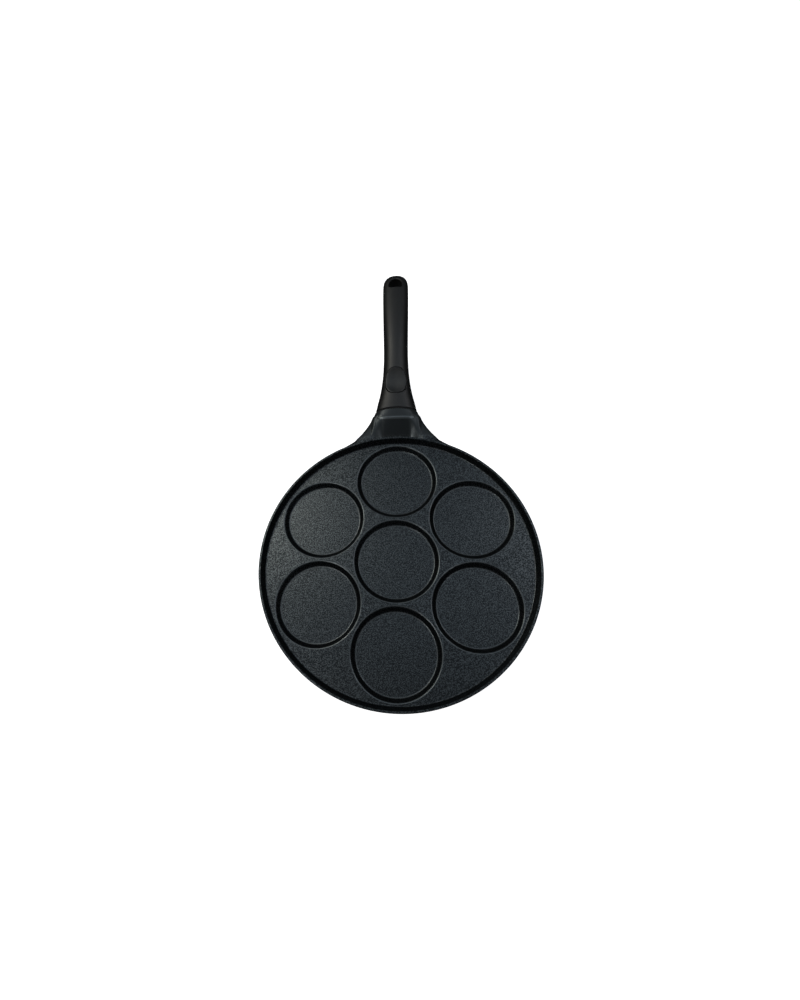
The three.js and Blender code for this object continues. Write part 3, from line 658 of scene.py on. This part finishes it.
def neckRing(place, angle, inset=0.0):
    reach = reachOf(place)
    grown = clamp(reach / collarReach)
    flangeWidth = (flangeHalfWidth(reach) if grown < 1 else flaredHalfWidth(reach)) - inset
    bossWidth = flaredHalfWidth(max(reach, collarReach)) - inset
    flangePower = lerp(neck["flangePower"], spine["sectionPower"], grown)
    bossPower = lerp(neck["bossPower"], neck["collarPower"], grown)
    if grown == 1:  # towards the handle's own section
        collared = clamp((reach - collarReach) / spine["collarLength"])
        bossPower = lerp(neck["collarPower"], spine["sectionPower"], collared)
    half = neck["flangeThickness"] / 2
    slope = (flangeHalfWidth(reach + neck["slopeStep"]) - flangeHalfWidth(reach)) / neck["slopeStep"]
    draft = (1 - grown) ** 2 * rimSlope * math.hypot(1, slope) / flangeWidth
    shares = neckShares()
    rise = swell(shares, flangePower)
    across = flangeWidth * shares
    topX = across * (1 + draft * half * (rise - neck["shoulder"]))
    spread = (flangeWidth - bossWidth) / neck["footSpread"]
    blend = clamp(spread, neck["footLeast"], neck["footRound"])
    topZ = neckTop(topX, half * rise, blend, place, angle, bossWidth, bossPower, inset)
    lower = lerp(half, crown, ease(grown)) - inset
    lowX = across * (1 - draft * half * (rise + neck["shoulder"]))
    lowZ = -np.maximum(half * rise, lower * swell(across / bossWidth, bossPower))
    topZ[-1] = lowZ[-1] = 0.0
    lowX[-1] = topX[-1]
    top = list(zip(topX, topZ))
    low = list(zip(lowX, lowZ))
    outline = top[::-1] + [(-x, h) for x, h in top[1:]] + [(-x, h) for x, h in low[-2::-1]] + low[1:-1]
    return [place @ Vector((x, 0, h)) for x, h in outline]


def neckPiece():
    rings = []
    for share in np.concatenate([np.linspace(*stretch, False) for stretch in neckStations["root"]]):
        y, z, angle = rootPlace(share)
        rings.append(neckRing(frameOf(y, z, angle), angle))
    start, bend, count = neckStations["collar"]
    end = spine["collarLength"] - neck["endRound"]
    distances = np.concatenate([np.linspace(start, bend, count, False),
                                np.linspace(bend, end, neckStations["collarRest"])])
    for distance in distances - spine["collarLength"]:
        rings.append(neckRing(frameAt(distance), spine["shankAngle"]))
    for i in range(1, neck["endSteps"] + 1):
        turn = quarter * i / neck["endSteps"]
        back = neck["endRound"] * (1 - math.sin(turn))
        rings.append(neckRing(frameAt(-back), spine["shankAngle"], neck["endRound"] * (1 - math.cos(turn))))
    return loftPiece("neck", rings)


def corePiece():  # hollow under the neck, as a casting is cored
    rings = []
    last = neck["coreRings"]
    for i in range(last + 1):
        y = lerp(rimOuterRadius + neck["coreStart"], collarPoint.y - neck["coreEnd"], i / last)
        near = min(min(i, last - i) / neck["coreRoundRings"], 1)
        inset = neck["coreRound"] * (1 - math.sqrt(1 - (1 - near) ** 2))
        halfWidth = flaredHalfWidth(y - rimOuterRadius) - neck["coreWall"] - inset
        outline = roundedOutline(halfWidth, crown - inset, neck["flangePower"], neck["coreSides"])
        middle = scoopFloor(y) - neck["coreRoof"] - crown
        rings.append([Vector((x, y, middle + h)) for x, h in outline])
    return loftPiece("core", rings)


def insideRim():
    bottom, top = -overcut, rimTop + overcut
    profile = [(0, bottom), (wallMiddle(bottom), bottom), (wallMiddle(top), top), (0, top)]
    return spunPiece("insideRim", profile, pan["sides"])


# tongue of the casting inside the handle, and the room for what fixes it
fixingSizes = {
    "setback": 31.9, "tongueEnd": 14.8, "tongueWidth": 16.0, "tongueTop": 0.45, "tongueBottom": -3.55,
    "tongueCorner": 1.5, "cornerSteps": 6, "boreRadius": 2.75, "insertTop": 4.9, "insertRadius": 3.9,
    "accessRadius": 5.25, "seatGap": 0.25, "boreSides": 64,
}
fixing = fixingSizes
tongueLength = fixing["setback"] + fixing["tongueEnd"]


def barOutline(clearance):
    corner, steps = fixing["tongueCorner"], fixing["cornerSteps"]
    right = fixing["tongueWidth"] / 2 + clearance - corner
    top, bottom = fixing["tongueTop"] + clearance - corner, fixing["tongueBottom"] - clearance + corner
    points = []
    for i, (x, height) in enumerate(((right, bottom), (right, top), (-right, top), (-right, bottom))):
        points += arcPoints(x, height, corner, quarter * (i - 1), quarter * i, steps)
    return points


def barPiece(name, clearance, start, end):
    outline = barOutline(clearance)
    return loftPiece(name, [[jointFrame @ Vector((x, y, h)) for x, h in outline] for y in (start, end)])


def boreAt(name, radius, bottom, top):
    profile = [(0, bottom), (radius, bottom), (radius, top), (0, top)]
    bore = spunPiece(name, profile, fixing["boreSides"])
    return placed(bore, jointFrame @ Matrix.Translation((0, fixing["setback"], 0)))


def socketId(tree, label):
    return next(s.identifier for s in tree.interface.items_tree if s.name == label and s.in_out == "INPUT")


def cupRingTree():  # sinks a ring of cups and a middle one into what it is given
    tree = bpy.data.node_groups.new("cupRing", "GeometryNodeTree")
    face = tree.interface
    face.new_socket(name="Geometry", in_out="INPUT", socket_type="NodeSocketGeometry")
    for label, kind in (("Cup Space", "NodeSocketObject"), ("Ring Cups", "NodeSocketInt"),
                        ("Ring Radius", "NodeSocketFloat"), ("Plate Top", "NodeSocketFloat"),
                        ("First Angle", "NodeSocketFloat"), ("Finish", "NodeSocketMaterial")):
        face.new_socket(name=label, in_out="INPUT", socket_type=kind)
    face.new_socket(name="Geometry", in_out="OUTPUT", socket_type="NodeSocketGeometry")
    add, link = tree.nodes.new, tree.links.new
    given, out = add("NodeGroupInput"), add("NodeGroupOutput")
    ring, middle = add("GeometryNodeMeshCircle"), add("GeometryNodePoints")
    both = add("GeometryNodeJoinGeometry")
    link(given.outputs["Ring Cups"], ring.inputs["Vertices"])
    link(given.outputs["Ring Radius"], ring.inputs["Radius"])
    link(ring.outputs[0], both.inputs[0])
    link(middle.outputs[0], both.inputs[0])
    lift, spin = add("ShaderNodeCombineXYZ"), add("ShaderNodeCombineXYZ")
    move = add("GeometryNodeTransform")
    link(given.outputs["Plate Top"], lift.inputs["Z"])
    link(given.outputs["First Angle"], spin.inputs["Z"])
    link(both.outputs[0], move.inputs["Geometry"])
    link(lift.outputs[0], move.inputs["Translation"])
    link(spin.outputs[0], move.inputs["Rotation"])
    cup, copies = add("GeometryNodeObjectInfo"), add("GeometryNodeInstanceOnPoints")
    cup.inputs["As Instance"].default_value = True
    link(given.outputs["Cup Space"], cup.inputs["Object"])
    link(move.outputs[0], copies.inputs["Points"])
    link(cup.outputs["Geometry"], copies.inputs["Instance"])
    real, finish = add("GeometryNodeRealizeInstances"), add("GeometryNodeSetMaterial")
    link(copies.outputs[0], real.inputs[0])
    sink = add("GeometryNodeMeshBoolean")
    sink.operation, sink.solver = "DIFFERENCE", "MANIFOLD"
    link(given.outputs["Geometry"], sink.inputs["Mesh 1"])
    link(real.outputs[0], sink.inputs["Mesh 2"])
    link(sink.outputs[0], finish.inputs["Geometry"])
    link(given.outputs["Finish"], finish.inputs["Material"])
    link(finish.outputs[0], out.inputs[0])
    return tree


paintedSheenSizes = {  # share of painted highlight, drawn as exposed metal, at its most, and how far it reaches
    "edge": 0.86, "edgeReach": 0.5, "foot": 0.62, "footReach": 0.45, "ridge": 0.9, "ridgeReach": 2.0,
    "gain": 1.6, "depth": 1.4, "slack": 0.1, "neck": 0.23, "chute": (11.0, 16.0), "chuteEnd": 1.0,
}


def paintedSheen(piece):  # stores the painted highlight, drawn as exposed metal: the cups' edges and corners, the neck and its ridge
    mesh = piece.data
    flat = np.empty(len(mesh.vertices) * 3)
    mesh.vertices.foreach_get("co", flat)
    x, y, z = flat.reshape(-1, 3).T / mm
    turns = [quarter + 2 * math.pi * i / pan["ringCups"] for i in range(pan["ringCups"])]
    centres = [(0.0, 0.0)] + [(cupPitch * math.cos(turn), cupPitch * math.sin(turn)) for turn in turns]
    out = np.min([np.hypot(x - cx, y - cy) for cx, cy in centres], axis=0)
    depth, slack, floor = paintedSheenSizes["depth"], paintedSheenSizes["slack"], pan["floorThickness"]

    def band(name, distance):  # full in the middle of its reach, gone at its ends
        share = paintedSheenSizes["gain"] * (1 - np.abs(distance) / paintedSheenSizes[name + "Reach"])
        return paintedSheenSizes[name] * np.clip(share, 0, 1)

    # painted highlight lines along the cups' top edges and floor corners, and along the neck's ridge
    edge = band("edge", out - mouthRadius(pan["edgeRound"]) + paintedSheenSizes["edgeReach"])
    foot = band("foot", out - pan["cupFloorRadius"] - paintedSheenSizes["footReach"])
    ridge = band("ridge", y - ridgeY - neck["beadShift"])
    share = np.where((z > plateTop - depth) & (z < plateTop + slack), edge, 0)
    share = np.where((z > floor - slack) & (z < floor + depth), foot, share)
    share = np.where(z > crownLine(ridgeY) - depth, ridge, share)
    inner, outer = paintedSheenSizes["chute"]
    sides = np.clip((np.abs(x) - inner) / (outer - inner), 0, 1)
    sides = np.where(y < ridgeY - paintedSheenSizes["chuteEnd"], sides, 1)
    # painted highlight on the neck's cheeks and collar, none in the middle of its chute
    share = np.where(y > rimOuterRadius, np.maximum(share, paintedSheenSizes["neck"] * sides), share)
    mesh.attributes.new("paintedSheen", "FLOAT", "POINT").data.foreach_set("value", share)
    return piece


def panPiece():
    body = panBlank()
    neckBody = shape(shape(neckPiece(), corePiece(), "DIFFERENCE"), insideRim(), "DIFFERENCE")
    print("neck faces", len(neckBody.data.polygons))
    shape(body, neckBody, "UNION")
    shape(body, barPiece("tongue", 0, -spine["collarLength"] / 2, tongueLength), "UNION")
    bottom, top = fixing["tongueBottom"] - overcut, fixing["tongueTop"] + overcut
    shape(body, boreAt("bore", fixing["boreRadius"], bottom, top), "DIFFERENCE")
    cutter = cupSpace()
    tree = cupRingTree()
    step = body.modifiers.new("cups", "NODES")
    step.node_group = tree
    for label, value in (("Cup Space", cutter), ("Ring Cups", pan["ringCups"]),
                         ("Ring Radius", cupPitch * mm), ("Plate Top", plateTop * mm),
                         ("First Angle", quarter), ("Finish", coatedCasting)):
        step[socketId(tree, label)] = value
    settle(body)
    bpy.data.objects.remove(cutter)
    # the pan carries its painted highlight as a point attribute
    return paintedSheen(smoothed(bowed(body)))


dressed(panPiece(), "pan_body", coatedCasting)


# handle, a skin over sections with pocket, eye and screw access cut in
handleSizes = {
    "start": 1.3, "tipSwell": 1.2, "tipThickness": 15.5, "tipRound": 20.3, "tipPower": 3.4,
    "tipEdgePower": 4.0, "startRound": 0.7, "sides": 128, "startRings": 5, "shankRings": 40,
    "gripRings": 60, "tipRings": 44,
    "eyeWidth": 15.0, "eyeLength": 12.0, "eyeCorner": 3.5, "eyeInset": 7.2, "eyeSteps": 16,
    "eyeUnder": ((0.0, 1.16), (1.2, 1.0)),  # height over the lower skin and growth of the eye there
    "eyeFlare": ((-1.6, 1.0), (-1.25, 1.03), (-0.85, 1.1), (-0.35, 1.24), (0.1, 1.38)),  # from the upper skin
    "eyeWide": 1.05, "eyeWiden": 1.6,
}
grip = handleSizes


def tipTaper(end, power):
    return max(1 - end ** power, 0) ** (1 / power)


def handleRing(distance, inset=0.0):
    place = frameAt(distance)
    along = ease(distance, spine["shankLength"], handleEnd - grip["tipRound"])
    end = max(distance - handleEnd + grip["tipRound"], 0) / grip["tipRound"]
    width = (flaredHalfWidth(reachOf(place)) + grip["tipSwell"] * along) * tipTaper(end, grip["tipPower"])
    height = lerp(crown, grip["tipThickness"] / 2, along) * tipTaper(end, grip["tipEdgePower"])
    outline = roundedOutline(width - inset, height - inset, spine["sectionPower"], grip["sides"])
    return [place @ Vector((x, 0, h)) for x, h in outline]


def eyeOutline():  # straight towards the pan, round towards the tip
    right, corner, steps = grip["eyeWidth"] / 2, grip["eyeCorner"], grip["eyeSteps"]
    shoulder = corner - grip["eyeLength"] / 2
    rise = grip["eyeLength"] / 2 - shoulder
    points = arcPoints(corner - right, shoulder, corner, 2 * quarter, 3 * quarter, steps)
    points += arcPoints(right - corner, shoulder, corner, 3 * quarter, 4 * quarter, steps)
    for i in range(1, 3 * steps):
        angle = math.pi * i / (3 * steps)
        points.append((right * math.cos(angle), shoulder + rise * math.sin(angle)))
    return points


padSizes = {
    "bottom": 6.0, "length": 29.0, "border": 3.9, "taper": 0.05, "farPower": 2.4, "nearPower": 2.8,
    "dish": 3.0, "edge": 0.9, "edgeSteps": 5, "rim": 0.4, "rimSteps": 6, "rimLeast": 0.01, "proud": 0.3,
    "sides": 128, "rings": 26, "crease": 50,
}
pad = padSizes


def padOutline(clearance):  # round at the far end, squarer at the near one
    halfWidth = flaredHalfWidth(reachOf(frameAt(fixing["setback"]))) - pad["border"] + clearance
    halfLength = pad["length"] / 2 + clearance
    half = pad["sides"] // 2
    far = roundedOutline(halfWidth, halfLength, pad["farPower"], pad["sides"])[:half]
    near = roundedOutline(halfWidth, halfLength, pad["nearPower"], pad["sides"])[half:]
    return [(x * (1 - pad["taper"] * y / halfLength), y + fixing["setback"]) for x, y in far + near]


def shankTop(x, distance):  # height of the handle's skin over the straight part of its mid-line
    return crown * float(swell(x / flaredHalfWidth(reachOf(frameAt(distance))), spine["sectionPower"]))


def pocketRings(floor, gap):  # straight sides that open with a rounded rim at the handle's skin
    rings = [[(x, y, floor) for x, y in padOutline(gap)]]
    for i in range(pad["rimSteps"] + 1):
        turn = quarter * i / pad["rimSteps"]
        drop = pad["rim"] * (1 - math.sin(turn))
        least = floor + pad["rimLeast"] * (i + 1)
        outline = padOutline(gap + pad["rim"] * (1 - math.cos(turn)))
        rings.append([(x, y, max(shankTop(x, y) - drop, least)) for x, y in outline])
    rings.append([(x, y, crown + overcut) for x, y in padOutline(gap + pad["rim"])])
    return [[jointFrame @ Vector(p) for p in ring] for ring in rings]


def eyeRings(place):  # through hole, flared below all round and above towards the tip
    half = grip["tipThickness"] / 2
    under = [(height - half, grow) for height, grow in grip["eyeUnder"]]
    flare = [(height + half, grow) for height, grow in grip["eyeFlare"]]
    first, last = (-half - overcut, under[0][1]), (half + overcut, flare[-1][1])
    rings = []
    for height, grow in [first] + under + flare + [last]:
        wide = grip["eyeWide"] + grip["eyeWiden"] * (grow - 1) if height > 0 else grow
        rings.append([place @ Vector((x * wide, y * grow if y > 0 or height < 0 else y, height))
                      for x, y in eyeOutline()])
    return rings


def handlePiece():
    rings = []
    begin, rounding, tip = grip["start"], grip["startRound"], grip["tipRound"]
    for i in range(grip["startRings"]):
        turn = quarter * i / grip["startRings"]
        rings.append(handleRing(begin + rounding * (1 - math.cos(turn)), rounding * (1 - math.sin(turn))))
    for i in range(grip["shankRings"]):
        rings.append(handleRing(lerp(begin + rounding, spine["shankLength"], i / grip["shankRings"])))
    for i in range(grip["gripRings"]):
        rings.append(handleRing(lerp(spine["shankLength"], handleEnd - tip, i / grip["gripRings"])))
    for i in range(grip["tipRings"]):
        rings.append(handleRing(handleEnd - tip * (1 - math.sin(quarter * i / grip["tipRings"]))))
    body = loftPiece("handleGrip", rings)
    gap = fixing["seatGap"]
    eyePlace = frameAt(handleEnd - grip["eyeInset"] - grip["eyeLength"] / 2)
    for cut in (
        barPiece("socket", gap, -overcut, tongueLength + gap),
        loftPiece("pocket", pocketRings(pad["bottom"] - gap, gap)),
        boreAt("insertBore", fixing["insertRadius"] + gap, fixing["tongueTop"], fixing["insertTop"] + gap),
        boreAt("access", fixing["accessRadius"], -crown - overcut, fixing["tongueBottom"]),
        loftPiece("eye", eyeRings(eyePlace)),
    ):
        shape(body, cut, "DIFFERENCE")
    return smoothed(bowed(body))


dressed(handlePiece(), "handle", softTouch)


# thumb rest, a dished inlay with a soft rounded edge
def padPiece():
    halfLength, halfWidth = pad["length"] / 2, max(x for x, y in padOutline(0))
    middle = Vector((0, fixing["setback"], 0))

    def skin(x, y):  # level with the handle at its border, dished inside
        out = ((y - fixing["setback"]) / halfLength) ** 2 + (x / halfWidth) ** 2
        return shankTop(x, y) + pad["proud"] - pad["dish"] * max(1 - out, 0)

    rings = [[Vector((x, y, pad["bottom"])) for x, y in padOutline(0)]]
    for i in range(pad["edgeSteps"] + 1):
        turn = quarter * i / pad["edgeSteps"]
        drop = pad["edge"] * (1 - math.sin(turn))
        outline = padOutline(-pad["edge"] * (1 - math.cos(turn)))
        rings.append([Vector((x, y, skin(x, y) - drop)) for x, y in outline])
    inner = padOutline(-pad["edge"])
    for i in range(1, pad["rings"]):
        points = [middle.lerp(Vector((x, y, 0)), 1 - i / pad["rings"]) for x, y in inner]
        rings.append([Vector((p.x, p.y, skin(p.x, p.y))) for p in points])
    inlay = loftPiece("thumbRest", [[jointFrame @ p for p in ring] for ring in rings])
    return smoothed(inlay, pad["crease"])


dressed(padPiece(), "thumb_rest", padRubber)


# gasket between collar and handle
gasketSizes = {"thickness": 0.8, "inset": 0.7, "edge": 0.15, "sides": 128}


def gasketPiece():
    halfWidth = flaredHalfWidth(reachOf(jointFrame)) - gasketSizes["inset"]
    start, edge = fixing["seatGap"], gasketSizes["edge"]
    end = start + gasketSizes["thickness"]
    rings = []
    for y, inset in ((start, edge), (start + edge, 0), (end - edge, 0), (end, edge)):
        halfHeight = crown - gasketSizes["inset"] - inset
        outline = roundedOutline(halfWidth - inset, halfHeight, spine["sectionPower"], gasketSizes["sides"])
        rings.append([jointFrame @ Vector((x, y, h)) for x, h in outline])
    slot = barPiece("slot", fixing["seatGap"], -overcut, overcut)
    return smoothed(bowed(shape(loftPiece("jointGasket", rings), slot, "DIFFERENCE")))


dressed(gasketPiece(), "joint_gasket", gasketRubber)


# screw under the handle, with a cross recess
screwSizes = {
    "radius": 2.5, "tip": 4.3, "tipChamfer": 0.5, "headRadius": 4.6, "headTop": -6.4, "headBottom": -9.2,
    "headDome": 1.0, "domeSteps": 8, "faceInset": 0.4, "headChamfer": 0.15, "turns": 12, "threadStart": 1.0,
    "threadPitch": 0.784, "threadValley": 0.4, "threadDepth": 0.35, "sides": 64,
    "crossWidth": 1.5, "crossReach": 2.6, "crossDepth": 1.5, "crossTaper": 0.55, "crossProud": 0.5,
}


def crossSlot(turn):  # one arm of the recess, tapering towards its floor
    halfWidth, reach = screwSizes["crossWidth"] / 2, screwSizes["crossReach"]
    bottom = screwSizes["headBottom"]
    rings = []
    floor, taper = bottom + screwSizes["crossDepth"], screwSizes["crossTaper"]
    for z, share in ((bottom - screwSizes["crossProud"], 1), (floor, taper)):
        w, r = halfWidth * share, reach * share
        rings.append([Vector((x, y, z)) for x, y in ((-w, -r), (w, -r), (w, r), (-w, r))])
    return placed(loftPiece("slot", rings), Matrix.Rotation(turn, 4, "Z"))


def screwPiece():
    size = screwSizes
    head, dome, radius, tip = size["headRadius"], size["headDome"], size["radius"], size["tip"]
    bottom, top = size["headBottom"], size["headTop"]
    profile = [(0, bottom), (head - dome - size["faceInset"], bottom)]
    profile += arcPoints(head - dome, bottom + dome, dome, -quarter, 0, size["domeSteps"])
    profile += [(head, top - size["headChamfer"]), (head - size["headChamfer"], top), (radius, top)]
    for i in range(size["turns"]):  # thread as rings, hidden in the insert
        z = top + size["threadStart"] + i * size["threadPitch"]
        profile += [(radius, z), (radius - size["threadDepth"], z + size["threadValley"])]
    profile += [(radius, tip - size["tipChamfer"]), (radius - size["tipChamfer"], tip), (0, tip)]
    screw = spunPiece("handleScrew", profile, size["sides"])
    for turn in (0, quarter):
        shape(screw, crossSlot(turn), "DIFFERENCE")
    placed(screw, jointFrame @ Matrix.Translation((0, fixing["setback"], 0)))
    return smoothed(screw)


dressed(screwPiece(), "handle_screw", zincSteel)

for node, material in (("spring_washer", zincSteel), ("plain_washer", zincSteel), ("threaded_insert", brass)):
    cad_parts[node].data.materials.clear()
    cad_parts[node].data.materials.append(material)
print("pieces made")


# floor and studio light
floorLook = {
    "size": 12000.0, "drop": 0.05, "white": (0.9, 0.9, 0.9, 1.0), "rough": 0.9, "specular": 0.1, "glow": 0.93,
    "dim": (0.06, 0.06, 0.06, 1.0),
}


def floorFinish():  # even white to the eye, dim in the pan's reflections
    look = floorLook
    material, tree, shader = newFinish("paleFloor", {"Base Color": look["white"], "Roughness": look["rough"],
                                                     "Specular IOR Level": look["specular"]})
    dim = tree.nodes.new("ShaderNodeBsdfDiffuse")
    dim.inputs["Color"].default_value = look["dim"]
    glow = tree.nodes.new("ShaderNodeEmission")
    glow.inputs["Strength"].default_value = look["glow"]
    both, mix = tree.nodes.new("ShaderNodeAddShader"), tree.nodes.new("ShaderNodeMixShader")
    seen = tree.nodes.new("ShaderNodeLightPath")
    tree.links.new(shader.outputs[0], both.inputs[0])
    tree.links.new(glow.outputs[0], both.inputs[1])
    tree.links.new(seen.outputs["Is Camera Ray"], mix.inputs[0])
    tree.links.new(dim.outputs[0], mix.inputs[1])
    tree.links.new(both.outputs[0], mix.inputs[2])
    tree.links.new(mix.outputs[0], tree.nodes["Material Output"].inputs["Surface"])
    return material


side, drop = floorLook["size"] / 2, floorLook["drop"]
floorCorners = [(-side, -side, -drop), (side, -side, -drop), (side, side, -drop), (-side, side, -drop)]
paleFloor = pieceFrom("paleFloor", floorCorners, [(0, 1, 2, 3)])
paleFloor.data.materials.append(floorFinish())

lightSizes = {  # middle of each light, its width and length, brightness and colour; equal sides make a disc
    "overhead": ((0, 372, 1000), (1600, 864), 0.5, (0.85, 0.98, 1.13)),
    "leftOuter": ((-520, 490, 985), (660, 660), 1.55, (1.0, 0.98, 0.9)),
    "leftInner": ((-690, 530, 975), (220, 220), 27.0, (1.0, 0.96, 0.84)),
    "rightOuter": ((500, 430, 985), (580, 580), 0.62, (0.94, 0.97, 1.0)),
    "rightInner": ((690, 420, 975), (220, 220), 9.0, (1.0, 0.95, 0.96)),
    "leftLow": ((-540, -330, 975), (220, 220), 24.0, (1.0, 0.98, 0.95)),
    "rightLow": ((560, -330, 975), (220, 220), 8.5, (0.98, 0.98, 1.0)),
}
for name, (place, (width, length), bright, colour) in lightSizes.items():
    lamp = bpy.data.lights.new(name, "AREA")
    isRound = width == length
    lamp.shape = "DISK" if isRound else "RECTANGLE"
    lamp.size, lamp.size_y, lamp.color = width * mm, length * mm, colour
    area = width * length * mm * mm * (math.pi / 4 if isRound else 1)
    lamp.energy = bright * math.pi * area
    lampObject = bpy.data.objects.new(name, lamp)
    lampObject.location = Vector(place) * mm
    scene.collection.objects.link(lampObject)

domeLook = {"low": 0.3, "high": 1.0, "dark": (0.024, 0.027, 0.03), "bright": (0.1, 0.12, 0.135)}


def studioDome():  # dim room, darker towards the horizon
    world = bpy.data.worlds.new("studio")
    world.use_nodes = True
    tree = world.node_tree
    parts = tree.nodes.new("ShaderNodeSeparateXYZ")
    tree.links.new(tree.nodes.new("ShaderNodeTexCoord").outputs["Generated"], parts.inputs[0])
    share = stretchNode(tree, parts.outputs["Z"], domeLook["low"], domeLook["high"])
    light = colourMix(tree, share, domeLook["dark"], domeLook["bright"])
    tree.links.new(light, tree.nodes["Background"].inputs["Color"])
    return world


scene.world = studioDome()
scene.view_settings.view_transform = "Standard"
print("stage and lights set")
